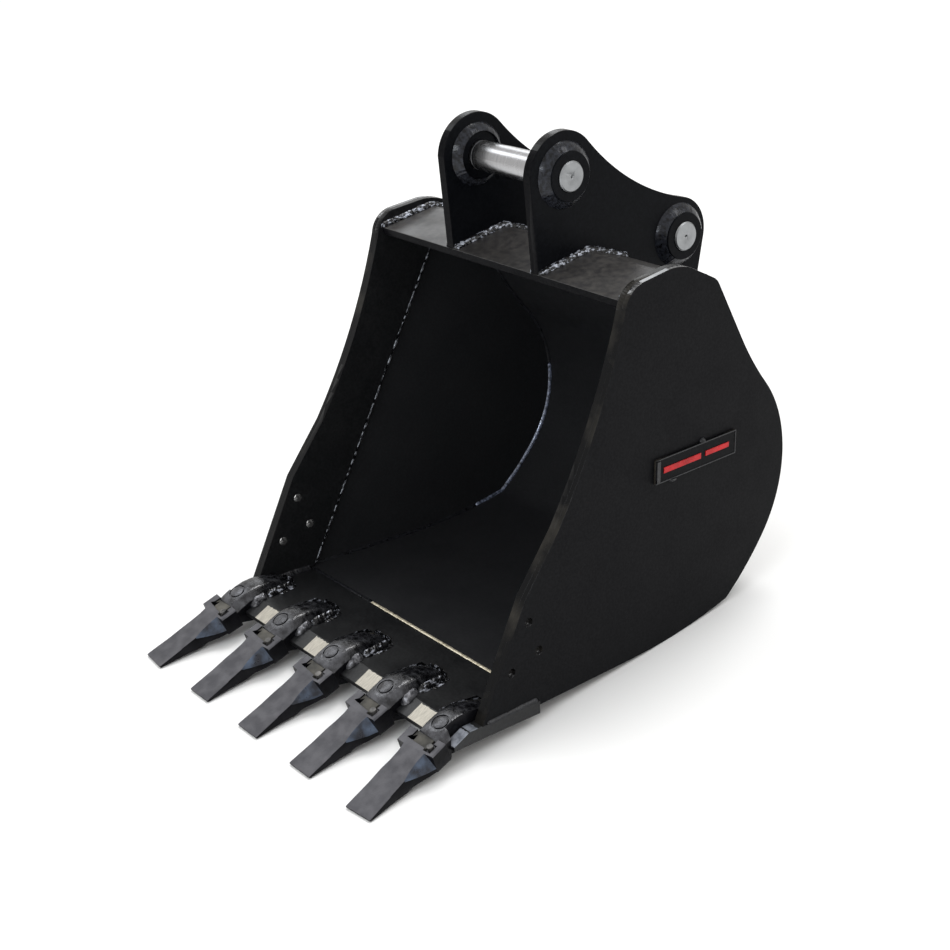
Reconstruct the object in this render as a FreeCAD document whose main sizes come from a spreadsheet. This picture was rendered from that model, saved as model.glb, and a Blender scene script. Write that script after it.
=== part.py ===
# Excavator bucket, 600 mm wide, with bolted-side-cutter holes, five pinned teeth and two coupling pins.
#
# The bucket is drawn in a working frame in which its floor plate lies level: X runs across the width, with
# the middle of the bucket at 0; Y runs from the lip to the back, with 0 at the foot of the leading edges; Z
# runs up, with 0 on the top face of the lip.  A last step stands the whole bucket on the ground, on its
# tooth tips and its heel, and puts the origin below the middle of its box.
import FreeCAD, Part
import math
import os
from FreeCAD import Placement, Rotation, Vector

doc = FreeCAD.newDocument("excavator_bucket")

# ---------------------------------------------------------------------------------- driving dimensions
DIMENSIONS = {
    # overall
    "bucket_width": 600, "side_taper": 0.05, "side_lean": 0.014, "stance_angle": 5.945,
    # plates
    "side_thickness": 8, "bar_thickness": 10, "wrapper_thickness": 8, "wrapper_inset": 2,
    "top_thickness": 12, "ear_thickness": 16, "ear_outer_face": 106,
    # lip
    "lip_front": -50, "lip_back": 105, "lip_thickness": 20, "lip_nose": 6, "bevel_start": -22,
    # heel of the side outline, as arcs
    "floor_drop": 10, "rise_start": 300, "rise_radius": 874, "heel_radius": 418, "back_radius": 206,
    "back_centre_y": 424.2, "back_centre_z": 220.6, "hollow_radius": 570,
    # coupling pins and their bosses
    "front_pin_y": 328, "front_pin_z": 684, "rear_pin_y": 558.5, "rear_pin_z": 554.5,
    "pin_radius": 22.5, "pin_half_length": 124, "pin_chamfer": 2, "dimple_radius": 3,
    "seat_half_length": 75, "groove_width": 2, "groove_depth": 0.5,
    "boss_radius": 36, "boss_bore": 22.55, "boss_outer_face": 121, "boss_inner_face": 82,
    "front_ear_radius": 63, "rear_ear_radius": 57,
    # side-cutter bolt holes
    "cutter_hole_radius": 7,
    # teeth
    "inner_tooth_x": 137.5, "outer_tooth_x": 266, "outer_tooth_splay": 5.7, "tooth_droop": 20,
    "tooth_root_y": -75, "tooth_root_z": -19, "tooth_root_width": 72, "nose_width": 42, "socket_width": 44,
    "adapter_width": 54, "corner_leg_end": 279.5, "corner_leg_depth": 50,
    "lock_radius": 5, "lock_bore": 5.05, "lock_length": 40, "lock_offset": 21.5, "lock_back": -4,
    # name plate
    "badge_thickness": 4, "badge_length": 174, "badge_height": 38,
}

sheet = doc.addObject("Spreadsheet::Sheet", "Dimensions")
for row, (alias, value) in enumerate(DIMENSIONS.items(), start=1):
    sheet.set(f"A{row}", alias)
    sheet.set(f"B{row}", str(value))
    sheet.setAlias(f"B{row}", alias)
doc.recompute()


def dim(alias):
    """A driving dimension, read back from the sheet."""
    return float(sheet.get(alias))


def bind(feature, prop, expression):
    """Drive a property from the sheet; names in braces are aliases."""
    feature.setExpression(prop, expression.replace("{", "Dimensions.").replace("}", ""))


# ------------------------------------------------------------------------------------- drawing helpers
parts = []        # every finished sub-part
movable = {}      # object -> its Placement in the working frame


def place(thing, placement=None):
    movable[thing] = placement or Placement()
    return thing


def new_body(label, placement=None):
    body = doc.addObject("PartDesign::Body", label)
    body.Label = label
    return place(body, placement)


def finish(thing):
    parts.append(thing)
    return thing


def sketch_on(body, role, name):
    """An empty sketch on one of the body's own origin planes."""
    sketch = body.newObject("Sketcher::SketchObject", name)
    plane = [f for f in body.Origin.OriginFeatures if f.Role == role][0]
    sketch.AttachmentSupport = [(plane, "")]
    sketch.MapMode = "FlatFace"
    return sketch


def draw(sketch, path):
    """Draw a closed path.  A point draws a line to it; ("arc", middle, end) draws an arc through middle."""
    here = start = path[0]
    steps = list(path[1:])
    last = steps[-1][2] if steps[-1][0] == "arc" else steps[-1]
    if math.dist(last, start) > 1e-6:
        steps.append(start)
    for step in steps:
        if step[0] == "arc":
            middle, end = step[1], step[2]
            sketch.addGeometry(Part.Arc(Vector(*here, 0), Vector(*middle, 0), Vector(*end, 0)), False)
        else:
            end = step
            sketch.addGeometry(Part.LineSegment(Vector(*here, 0), Vector(*end, 0)), False)
        here = end


def draw_circle(sketch, centre, radius_expression):
    """A circle whose radius is driven by the sheet."""
    import Sketcher
    index = sketch.addGeometry(Part.Circle(Vector(*centre, 0), Vector(0, 0, 1), 5), False)
    number = sketch.addConstraint(Sketcher.Constraint("Radius", index, 5))
    bind(sketch, f"Constraints[{number}]", radius_expression)


def pad(body, sketch, length, symmetric=False, backward=False):
    feature = body.newObject("PartDesign::Pad", sketch.Name + "_pad")
    feature.Profile = sketch
    bind(feature, "Length", length)
    if symmetric:
        feature.SideType = "Symmetric"
    feature.Reversed = backward
    return feature


def pocket(body, sketch, length, symmetric=True, backward=False):
    """Cut a sketch out of the body, and make sure that it does cut."""
    doc.recompute()
    before = body.Shape.Volume
    feature = body.newObject("PartDesign::Pocket", sketch.Name + "_pocket")
    feature.Profile = sketch
    bind(feature, "Length", length)
    if symmetric:
        feature.SideType = "Symmetric"
    feature.Reversed = backward
    doc.recompute()
    if body.Shape.Volume > before - 1:
        raise RuntimeError(f"{body.Label}: {feature.Name} cuts nothing")
    return feature


# ------------------------------------------------------------------------- shared side-view geometry
def on_circle(centre, radius, degrees):
    angle = math.radians(degrees)
    return (centre[0] + radius * math.cos(angle), centre[1] + radius * math.sin(angle))


def circles_meet(centre_a, radius_a, centre_b, radius_b):
    """The lower of the two points that lie on both circles."""
    span = math.dist(centre_a, centre_b)
    along = (span ** 2 + radius_a ** 2 - radius_b ** 2) / (2 * span)
    aside = math.sqrt(radius_a ** 2 - along ** 2)
    uy = (centre_b[0] - centre_a[0]) / span
    uz = (centre_b[1] - centre_a[1]) / span
    points = []
    for sign in (1, -1):
        points.append((centre_a[0] + along * uy - sign * aside * uz,
                       centre_a[1] + along * uz + sign * aside * uy))
    return min(points, key=lambda point: point[1])


def angle_at(centre, point):
    return math.degrees(math.atan2(point[1] - centre[1], point[0] - centre[0]))


# The heel: level floor, a slow rise, a slight corner, two tangent arcs round the back, then a hollow arc
# that runs straight on up to the top corner.
HEEL_TO_BACK = -36          # where the heel arc passes into the back arc, degrees
BACK_TO_HOLLOW = 41         # where the back arc passes into the hollow arc
HOLLOW_END = 210.4          # where the hollow arc passes into the straight upper back
TOP_CORNER_RISE = 117       # length of the straight upper back

back_centre = (dim("back_centre_y"), dim("back_centre_z"))
heel_centre = on_circle(back_centre, dim("back_radius") - dim("heel_radius"), HEEL_TO_BACK)
hollow_centre = on_circle(back_centre, dim("back_radius") + dim("hollow_radius"), BACK_TO_HOLLOW)
rise_centre = (dim("rise_start"), dim("rise_radius") - dim("floor_drop"))
upper_back = (math.cos(math.radians(HOLLOW_END - 90)), math.sin(math.radians(HOLLOW_END - 90)))


def heel_steps(inset, climb=TOP_CORNER_RISE):
    """Path steps along the heel at an inset from the side plate's edge, from the floor up to the top."""
    floor = -dim("floor_drop") + inset
    rise = dim("rise_radius") - inset
    heel = dim("heel_radius") - inset
    back = dim("back_radius") - inset
    hollow = dim("hollow_radius") + inset
    corner = circles_meet(rise_centre, rise, heel_centre, heel)
    rise_middle = on_circle(rise_centre, rise, (-90 + angle_at(rise_centre, corner)) / 2)
    heel_middle = on_circle(heel_centre, heel, (angle_at(heel_centre, corner) + HEEL_TO_BACK) / 2)
    hollow_start = BACK_TO_HOLLOW + 180
    end = on_circle(hollow_centre, hollow, HOLLOW_END)
    return [
        (dim("rise_start"), floor),
        ("arc", rise_middle, corner),
        ("arc", heel_middle, on_circle(heel_centre, heel, HEEL_TO_BACK)),
        ("arc", on_circle(back_centre, back, 0), on_circle(back_centre, back, BACK_TO_HOLLOW)),
        ("arc", on_circle(hollow_centre, hollow, (hollow_start + HOLLOW_END) / 2), end),
        (end[0] + climb * upper_back[0], end[1] + climb * upper_back[1]),
    ]


def reverse(path):
    """The same path drawn the other way; it starts with a plain point."""
    ends = [step[2] if step[0] == "arc" else step for step in path]
    turned = [ends[-1]]
    for index in range(len(path) - 1, 0, -1):
        step = path[index]
        turned.append(("arc", step[1], ends[index - 1]) if step[0] == "arc" else ends[index - 1])
    return turned


LEADING_EDGE = [                       # from the foot on the lip to the front of the top edge
    (0, 0), (82, 167), (145, 250),
    ("arc", (211, 371), (271, 535)),
    ("arc", (281.5, 558.5), (304, 571)),
    (356, 578),
    ("arc", (381, 577), (403, 570.6)),
]
BAR_REAR_TOP = (406.5, 568.8)          # where the inner bar's straight rear edge reaches the top edge
BAR_REAR_FOOT = (107, 0)

# ------------------------------------------------------------------------------- side plates and bars
CUTTER_HOLES = [(88.5, 130), (107.5, 79), (55.5, 62.5)]

normal = Vector(1, dim("side_taper"), -dim("side_lean"))
half_width = dim("bucket_width") / 2


def side_placement(side, inward):
    """Place a flat plate drawn on YZ so that its outer face is a distance inside the bucket's side."""
    turn = Rotation(Vector(1, 0, 0), Vector(1, side * normal.y, side * normal.z))
    return Placement(turn.multVec(Vector(-side * inward, 0, 0)) + Vector(side * half_width, 0, 0), turn)


def side_plate(label, side):
    body = new_body(label, side_placement(side, 0))
    outline = sketch_on(body, "YZ_Plane", label + "_outline")
    heel = heel_steps(0)
    corner = heel[-1]
    crest = (corner[0] - 9 * 0.887, corner[1] + 9 * 0.461)
    below = (corner[0] - 9 * upper_back[0], corner[1] - 9 * upper_back[1])
    around = ("arc", (corner[0] - 0.9, corner[1] - 0.9), crest)
    back_edge = reverse(heel[:-1] + [below, around])
    step = dim("lip_back") + 1         # the plate steps down behind the lip
    draw(outline, LEADING_EDGE + back_edge + [(step, -dim("floor_drop")), (step, 0)])
    for hole in CUTTER_HOLES:
        draw_circle(outline, hole, "{cutter_hole_radius}")
    pad(body, outline, "{side_thickness}", backward=side > 0)
    return finish(body)


def side_bar(label, side):
    """The bar welded inside each side plate along its leading edge; the side-cutter bolts pass through it."""
    body = new_body(label, side_placement(side, dim("side_thickness")))
    outline = sketch_on(body, "YZ_Plane", label + "_outline")
    draw(outline, LEADING_EDGE + [BAR_REAR_TOP, BAR_REAR_FOOT])
    for hole in CUTTER_HOLES:
        draw_circle(outline, hole, "{cutter_hole_radius}")
    pad(body, outline, "{bar_thickness}", backward=side > 0)
    return finish(body)


SIDES = {"left": -1, "right": 1}
plates = {name: side_plate(f"{name}_side_plate", side) for name, side in SIDES.items()}
bars = {name: side_bar(f"{name}_side_bar", side) for name, side in SIDES.items()}

# ------------------------------------------------------------------- wrapper and top plate between them
BLOCK = 900                            # size of the blocks that trim the cross plates to the side plates


def trim_block(name, side):
    """Everything outside the inner face of one side plate."""
    block = doc.addObject("Part::Box", f"{name}_trim")
    block.Length, block.Width, block.Height = 100, 2 * BLOCK, 2 * BLOCK
    seat = side_placement(side, dim("side_thickness"))
    corner = Vector(0 if side > 0 else -100, -BLOCK, -BLOCK)
    return place(block, seat.multiply(Placement(corner, Rotation())))


blocks = {name: trim_block(name, side) for name, side in SIDES.items()}


def trimmed(label, blank, tools):
    """Trim a blank with each tool in turn; the last cut carries the node's name."""
    for number, tool in enumerate(tools, start=1):
        cut = doc.addObject("Part::Cut", f"{label}_cut{number}")
        cut.Base, cut.Tool = blank, tool
        blank = cut
    blank.Label = label
    return finish(blank)


# The top plate: a straight front run that rises to a bend, and a short run down to the back.
TOP_FRONT = (278, 546.5)
TOP_BEND = (376, 566)
TOP_BEND_RADIUS = 18                   # of the outer face
outer_heel = heel_steps(dim("wrapper_inset"))
TOP_REAR = (outer_heel[-1][0] + 4 * -upper_back[0], outer_heel[-1][1] - 4 * upper_back[1])


def unit(start, end):
    span = math.dist(start, end)
    return ((end[0] - start[0]) / span, (end[1] - start[1]) / span)


def top_line(depth):
    """The top plate's face at a depth below its outer face: front, bend start, bend middle, bend end."""
    rise = unit(TOP_FRONT, TOP_BEND)
    fall = unit(TOP_BEND, TOP_REAR)
    turn = math.atan2(rise[1], rise[0]) - math.atan2(fall[1], fall[0])
    leg = TOP_BEND_RADIUS * math.tan(turn / 2)
    bend_start = (TOP_BEND[0] - leg * rise[0], TOP_BEND[1] - leg * rise[1])
    centre = (bend_start[0] + TOP_BEND_RADIUS * rise[1], bend_start[1] - TOP_BEND_RADIUS * rise[0])
    radius = TOP_BEND_RADIUS - depth
    up_front = math.degrees(math.atan2(rise[0], -rise[1]))
    up_rear = math.degrees(math.atan2(fall[0], -fall[1]))
    front = (TOP_FRONT[0] + depth * rise[1], TOP_FRONT[1] - depth * rise[0])
    return [front, on_circle(centre, radius, up_front),
            on_circle(centre, radius, (up_front + up_rear) / 2), on_circle(centre, radius, up_rear)]


def slide_to_back(point, depth):
    """Follow the top plate's rear run from a point until it meets the wrapper's line at that inset."""
    fall = unit(TOP_BEND, TOP_REAR)
    base = heel_steps(depth)[-2][2]
    across = upper_back[0] * fall[1] - upper_back[1] * fall[0]
    gap = (base[0] - point[0], base[1] - point[1])
    along = (upper_back[0] * gap[1] - upper_back[1] * gap[0]) / across
    return (point[0] + along * fall[0], point[1] + along * fall[1])


def top_plate():
    blank = new_body("top_plate_blank")
    outline = sketch_on(blank, "YZ_Plane", "top_plate_outline")
    upper = top_line(0)
    lower = top_line(dim("top_thickness"))
    inset = dim("wrapper_inset")
    draw(outline, [upper[0], upper[1], ("arc", upper[2], upper[3]), slide_to_back(upper[3], inset),
                   slide_to_back(lower[3], inset), lower[3], ("arc", lower[2], lower[1]), lower[0]])
    pad(blank, outline, "{bucket_width}", symmetric=True)
    return trimmed("top_plate", blank, list(blocks.values()) + list(bars.values()))


def wrapper():
    """The curved shell from the lip round the heel to the top plate."""
    blank = new_body("wrapper_blank")
    outline = sketch_on(blank, "YZ_Plane", "wrapper_outline")
    inset = dim("wrapper_inset")
    inner = inset + dim("wrapper_thickness")
    lower = top_line(dim("top_thickness"))
    outside = heel_steps(inset)[:-1] + [slide_to_back(lower[3], inset)]
    inside = heel_steps(inner)[:-1] + [slide_to_back(lower[3], inner)]
    front_low = (dim("lip_back"), -dim("floor_drop") + inset)
    front_high = (dim("lip_back"), -dim("floor_drop") + inner)
    draw(outline, [front_low] + outside + reverse(inside) + [front_high])
    pad(blank, outline, "{bucket_width}", symmetric=True)
    return trimmed("wrapper", blank, list(blocks.values()))


top_plate()
wrapper()


# ------------------------------------------------------------------------------------------------ lip
def cutting_edge():
    """The thick lip plate, bevelled to a blunt nose, under the feet of the side plates."""
    body = new_body("cutting_edge")
    outline = sketch_on(body, "YZ_Plane", "cutting_edge_outline")
    bottom = -dim("lip_thickness")
    draw(outline, [(dim("lip_back"), 0), (dim("bevel_start"), 0),
                   (dim("lip_front"), bottom + dim("lip_nose")), (dim("lip_front"), bottom),
                   (dim("lip_back"), bottom)])
    pad(body, outline, "{bucket_width}", symmetric=True)
    return finish(body)


lip = cutting_edge()

# ------------------------------------------------------------------------------------ ears and bosses
front_pin = (dim("front_pin_y"), dim("front_pin_z"))
rear_pin = (dim("rear_pin_y"), dim("rear_pin_z"))
SADDLE_RADIUS = 400                    # of the hollow between the two pin heads
EAR_FOOT_ANGLE = 217                   # where the ear's rear edge lands on the hollow arc of the wrapper
EAR_REAR_KNEE = (597, 452)


def ear_outline():
    front_radius = dim("front_ear_radius")
    rear_radius = dim("rear_ear_radius")
    # centre of the saddle arc, outside both heads
    span = math.dist(front_pin, rear_pin)
    reach_front = SADDLE_RADIUS + front_radius
    reach_rear = SADDLE_RADIUS + rear_radius
    along = (span ** 2 + reach_front ** 2 - reach_rear ** 2) / (2 * span)
    aside = math.sqrt(reach_front ** 2 - along ** 2)
    ahead = unit(front_pin, rear_pin)
    saddle = (front_pin[0] + along * ahead[0] - aside * ahead[1],
              front_pin[1] + along * ahead[1] + aside * ahead[0])
    touch_front = angle_at(front_pin, saddle)
    touch_rear = angle_at(rear_pin, saddle)
    saddle_middle = (touch_front + 180 + touch_rear + 180) / 2
    leave_rear = -12                   # the rear edge leaves the rear head just below its pin's level
    front_tangent = 176
    inset = dim("wrapper_inset")
    foot = on_circle(hollow_centre, dim("hollow_radius") + inset, EAR_FOOT_ANGLE)
    hollow_top = on_circle(hollow_centre, dim("hollow_radius") + inset, HOLLOW_END)
    hollow_middle = on_circle(hollow_centre, dim("hollow_radius") + inset, (EAR_FOOT_ANGLE + HOLLOW_END) / 2)
    upper = top_line(0)
    return [
        upper[0],
        on_circle(front_pin, front_radius, front_tangent),
        ("arc", on_circle(front_pin, front_radius, (front_tangent + touch_front) / 2),
         on_circle(front_pin, front_radius, touch_front)),
        ("arc", on_circle(saddle, SADDLE_RADIUS, saddle_middle),
         on_circle(rear_pin, rear_radius, touch_rear)),
        ("arc", on_circle(rear_pin, rear_radius, (touch_rear + leave_rear) / 2),
         on_circle(rear_pin, rear_radius, leave_rear)),
        EAR_REAR_KNEE,
        foot,
        ("arc", hollow_middle, hollow_top),
        slide_to_back(upper[3], inset),
        upper[3],
        ("arc", upper[2], upper[1]),
    ]


def ear(label, side):
    """A hanger ear, standing on the top plate and running down over the back of the wrapper."""
    body = new_body(label, Placement(Vector(side * dim("ear_outer_face"), 0, 0), Rotation()))
    outline = sketch_on(body, "YZ_Plane", label + "_outline")
    draw(outline, ear_outline())
    for pin in (front_pin, rear_pin):
        draw_circle(outline, pin, "{boss_radius}")
    pad(body, outline, "{ear_thickness}", backward=side > 0)
    return finish(body)


def boss(label, side, pin):
    """A bored collar let through the ear and welded to both of its faces."""
    body = new_body(label, Placement(Vector(side * dim("boss_outer_face"), pin[0], pin[1]), Rotation()))
    rings = sketch_on(body, "YZ_Plane", label + "_rings")
    draw_circle(rings, (0, 0), "{boss_radius}")
    draw_circle(rings, (0, 0), "{boss_bore}")
    pad(body, rings, "{boss_outer_face} - {boss_inner_face}", backward=side > 0)
    return finish(body)


def coupling_pin(label, pin):
    """A ground pin with chamfered ends and a centre-drill dimple in each end.

    A shallow turned groove marks off each end of the seat that the arm or link turns on.
    """
    body = new_body(label, Placement(Vector(0, pin[0], pin[1]), Rotation()))
    half = sketch_on(body, "XY_Plane", label + "_half")
    length, radius = dim("pin_half_length"), dim("pin_radius")
    chamfer, dimple = dim("pin_chamfer"), dim("dimple_radius")
    seat, groove, depth = dim("seat_half_length"), dim("groove_width"), dim("groove_depth")
    right_end = [(seat, radius), (seat, radius - depth), (seat + groove, radius - depth),
                 (seat + groove, radius), (length - chamfer, radius), (length, radius - chamfer),
                 (length, dimple), (length - dimple, 0)]
    left_end = [(-x, y) for x, y in reversed(right_end)]
    draw(half, left_end + right_end)
    turned = body.newObject("PartDesign::Revolution", label + "_turned")
    turned.Profile = half
    turned.ReferenceAxis = (half, ["H_Axis"])
    turned.Angle = 360
    return finish(body)


for name, side in SIDES.items():
    ear(f"{name}_ear", side)
    boss(f"{name}_front_boss", side, front_pin)
    boss(f"{name}_rear_boss", side, rear_pin)
coupling_pin("front_pin", front_pin)
coupling_pin("rear_pin", rear_pin)

# -------------------------------------------------------------------------- adapters, teeth, lock pins
# Each tooth is drawn about its root: Y runs back along the tooth, Z square to it, and the droop turns it.
root = (dim("tooth_root_y"), dim("tooth_root_z"))
HEAD_BACK = 12                         # local Y where the tooth ends and the adapter's head begins
HEAD_HALF = 16                         # half height of the joint there


def tooth_placement(x):
    """The tooth's own frame at a place across the lip; the two corner teeth are splayed outwards."""
    droop = Rotation(Vector(1, 0, 0), dim("tooth_droop"))
    splay = 0
    if abs(x) > dim("inner_tooth_x"):
        splay = math.copysign(dim("outer_tooth_splay"), x)
    return Placement(Vector(x, root[0], root[1]), Rotation(Vector(0, 0, 1), splay).multiply(droop))


def lock_groove(body, label):
    """The half-round groove for the lock pin, square to the tooth."""
    groove = sketch_on(body, "XY_Plane", label + "_groove")
    draw_circle(groove, (dim("lock_offset"), dim("lock_back")), "{lock_bore}")
    pocket(body, groove, "3 * {lock_length}")


def adapter(label, x):
    """The cast adapter: two legs welded over the lip, and a wedge nose that carries the tooth."""
    body = new_body(label + "_blank", tooth_placement(x))
    turn = tooth_placement(0).inverse()

    def local(y, z):
        point = turn.multVec(Vector(0, y, z))
        return (point.y, point.z)

    bottom = -dim("lip_thickness")
    head = sketch_on(body, "YZ_Plane", label + "_head")
    draw(head, [local(45, 0), local(44, 6), local(8, 16), local(-24, 17), (HEAD_BACK, HEAD_HALF),
                (HEAD_BACK, -HEAD_HALF), local(-40, -36), local(-6, -34), local(0, bottom)])
    pad(body, head, "{adapter_width}", symmetric=True)
    nose = sketch_on(body, "YZ_Plane", label + "_nose")
    draw(nose, [(HEAD_BACK + 1, 11), (-42, 4.5), (-42, -4.5), (HEAD_BACK + 1, -11)])
    pad(body, nose, "{nose_width}", symmetric=True)
    lock_groove(body, label)
    if abs(x) <= dim("inner_tooth_x"):
        return trimmed(label, body, [lip])
    # the legs of a corner adapter stop short of the side plate
    waste = doc.addObject("Part::Box", label + "_leg_end")
    waste.Length = dim("adapter_width")
    waste.Width = 3 * dim("adapter_width")
    waste.Height = 2 * dim("corner_leg_depth")
    start = dim("corner_leg_end") if x > 0 else -dim("corner_leg_end") - dim("adapter_width")
    place(waste, Placement(Vector(start, dim("lip_front"), -dim("corner_leg_depth")), Rotation()))
    return trimmed(label, body, [lip, waste])


def tooth(label, x):
    """The digging tooth: a flat chisel that widens into ears round the adapter's nose."""
    body = new_body(label, tooth_placement(x))
    side_view = sketch_on(body, "YZ_Plane", label + "_side")
    draw(side_view, [(HEAD_BACK, 16), (-6, 17), (-132, 2.4), (-133, 0), (-132, -2.4),
                     (-62, -15.5), (-24, -17.5), (HEAD_BACK, -16.5)])
    pad(body, side_view, "{tooth_root_width}", symmetric=True)
    # plan view: everything outside the chisel's waist is cut away on both sides
    edge = dim("tooth_root_width") / 2 + 1
    for name, side in SIDES.items():
        waste = sketch_on(body, "XY_Plane", f"{label}_{name}_waste")
        draw(waste, [(side * edge, -12), (side * 36, -12), (side * 25, -34), (side * 23.5, -62),
                     (side * 25, -134), (side * edge, -134)])
        pocket(body, waste, "2 * {tooth_root_width}")
    socket = sketch_on(body, "YZ_Plane", label + "_socket")
    draw(socket, [(HEAD_BACK + 1, 11.5), (-43, 5), (-43, -5), (HEAD_BACK + 1, -11.5)])
    pocket(body, socket, "{socket_width}")
    lock_groove(body, label)
    return finish(body)


def lock_pin(label, x):
    """The roll pin that locks a tooth, held half in the adapter's nose and half in the tooth's ear."""
    body = new_body(label, tooth_placement(x))
    ring = sketch_on(body, "XY_Plane", label + "_ring")
    draw_circle(ring, (dim("lock_offset"), dim("lock_back")), "{lock_radius}")
    pad(body, ring, "{lock_length}", symmetric=True)
    return finish(body)


tooth_places = [-dim("outer_tooth_x"), -dim("inner_tooth_x"), 0, dim("inner_tooth_x"), dim("outer_tooth_x")]
for number, x in enumerate(tooth_places, start=1):
    adapter(f"adapter_{number}", x)
    tooth(f"tooth_{number}", x)
    lock_pin(f"lock_pin_{number}", x)

# ------------------------------------------------------------------------------------- plain name plate
BADGE_CORNER = (336, 262)              # its lower front corner on the side plate


def badge():
    """The plain name plate, flat on the right side plate's outer face."""
    seat = side_placement(1, -dim("badge_thickness"))
    body = new_body("name_plate", seat)
    outline = sketch_on(body, "YZ_Plane", "name_plate_outline")
    y, z = BADGE_CORNER
    length, height = dim("badge_length"), dim("badge_height")
    draw(outline, [(y, z), (y + length, z), (y + length, z + height), (y, z + height)])
    pad(body, outline, "{badge_thickness}", backward=True)
    return finish(body)


badge()


# --------------------------------------------------------------------------- stand it up, check, export
def stand(placement):
    """Move everything that stands free by one placement on top of its working place."""
    for thing, working in movable.items():
        thing.Placement = placement.multiply(working)
    doc.recompute()


def whole_box():
    """The exact box of all the parts together."""
    return Part.makeCompound([part.Shape for part in parts]).optimalBoundingBox(False)


turn = Rotation(Vector(1, 0, 0), -dim("stance_angle"))
stand(Placement(Vector(), turn))
box = whole_box()
shift = Vector(0, -(box.YMin + box.YMax) / 2, -box.ZMin)
stand(Placement(shift, turn))

for thing in doc.Objects:
    if {"Invalid", "Error"} & set(thing.State):
        raise RuntimeError(f"{thing.Label} failed: {thing.State}")
for part in parts:
    if part.Shape.isNull() or not part.Shape.isValid() or len(part.Shape.Solids) != 1:
        raise RuntimeError(f"{part.Label}: bad shape")

os.makedirs("parts", exist_ok=True)
for part in parts:
    part.Shape.exportStep(f"parts/{part.Label}.step")
box = whole_box()
print(len(parts), "parts, origin shift", [round(value, 3) for value in shift])
print("size", round(box.XLength, 1), round(box.YLength, 1), round(box.ZLength, 1))
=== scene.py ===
"""Excavator bucket: materials, weld beads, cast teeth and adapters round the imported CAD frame.

Detail is laid out in the bucket's own working frame, in millimetres: X across the width with 0 in the
middle, Y from the lip to the back, Z up from the top face of the lip.  The bucket stands tilted on its
tooth tips and heel, so one matrix, taken from the two coupling pins, carries working places into the
frame that all the tools share.
"""
import bisect
import math
import random

import bmesh
import bpy
from mathutils import Matrix, Vector, noise


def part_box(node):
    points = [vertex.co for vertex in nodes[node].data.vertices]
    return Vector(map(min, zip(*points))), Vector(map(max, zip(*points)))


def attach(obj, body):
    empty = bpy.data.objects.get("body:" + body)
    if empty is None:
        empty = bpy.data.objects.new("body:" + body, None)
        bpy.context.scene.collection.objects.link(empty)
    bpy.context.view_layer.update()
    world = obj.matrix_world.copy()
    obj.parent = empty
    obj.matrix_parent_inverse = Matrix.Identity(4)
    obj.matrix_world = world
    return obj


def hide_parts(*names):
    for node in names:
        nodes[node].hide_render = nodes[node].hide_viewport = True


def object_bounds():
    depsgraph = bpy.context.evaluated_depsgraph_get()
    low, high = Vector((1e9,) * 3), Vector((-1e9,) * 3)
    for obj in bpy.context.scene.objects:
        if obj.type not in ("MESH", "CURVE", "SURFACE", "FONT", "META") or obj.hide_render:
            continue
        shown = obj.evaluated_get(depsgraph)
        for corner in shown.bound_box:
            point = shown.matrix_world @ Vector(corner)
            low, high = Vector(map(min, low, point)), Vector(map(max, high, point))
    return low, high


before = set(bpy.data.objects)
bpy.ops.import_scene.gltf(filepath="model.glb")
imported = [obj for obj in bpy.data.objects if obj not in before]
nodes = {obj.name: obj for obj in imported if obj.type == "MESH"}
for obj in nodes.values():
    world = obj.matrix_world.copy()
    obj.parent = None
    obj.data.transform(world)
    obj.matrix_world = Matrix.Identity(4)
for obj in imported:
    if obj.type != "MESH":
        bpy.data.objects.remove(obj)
CAD_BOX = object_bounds()
MM = 0.001
UP = Vector((0, 0, 1))
SIDES = {"left": -1, "right": 1}
BUCKET = "bucket"
SHARP = 32                # degrees between two faces from which their edge counts as sharp


# ------------------------------ the working frame, from the frame
def centre(node):
    low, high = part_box(node)
    return (low + high) / 2


def slope(vector):
    return math.atan2(vector.z, vector.y)


PINS = {"front": Vector((0, 328, 684)), "rear": Vector((0, 558.5, 554.5))}
front_centre = centre("front_pin")
rear_centre = centre("rear_pin")
tilt = slope(rear_centre - front_centre) - slope(PINS["rear"] - PINS["front"])
STANCE = Matrix.Rotation(tilt, 4, "X")
ORIGIN = front_centre - STANCE @ (PINS["front"] * MM)
WORKING = Matrix.Translation(ORIGIN) @ STANCE @ Matrix.Scale(MM, 4)

# ------------------------------ the bucket's outlines
HALF_WIDTH = 300          # at the lip's level, over the side plates
TAPER = 0.05              # how far each side plate comes in per millimetre rearward
LEAN = 0.014              # how far each side plate leans out per millimetre of height
PLATE = 8                 # side plate
BAR = 10                  # bar inside the side plate's leading edge
INSET = 2                 # wrapper's outer face, inside the side plates' edge
WRAPPER = 8
LIP_BACK = 105
LIP_FRONT = -50
LIP_BOTTOM = -20
BEVEL_START = -22
BEVEL_FALL = 14
FLOOR_DROP = 10
EAR_OUTER, EAR_INNER = 106, 90
BOSS_RADIUS = 36
TOOTH_X = [-266, -137.5, 0, 137.5, 266]
SPLAY = 5.7               # degrees that the corner teeth turn outwards
CORNER_LEG = 279.5        # the corner adapters' upper legs end short of the side bars


def on_circle(middle, radius, degrees):
    angle = math.radians(degrees)
    return (middle[0] + radius * math.cos(angle), middle[1] + radius * math.sin(angle))


def arc_points(middle, radius, start, end, step=2.0):
    count = max(2, math.ceil(abs(end - start) / step))
    return [on_circle(middle, radius, start + (end - start) * i / count) for i in range(count + 1)]


def angle_at(middle, point):
    return math.degrees(math.atan2(point[1] - middle[1], point[0] - middle[0]))


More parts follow.
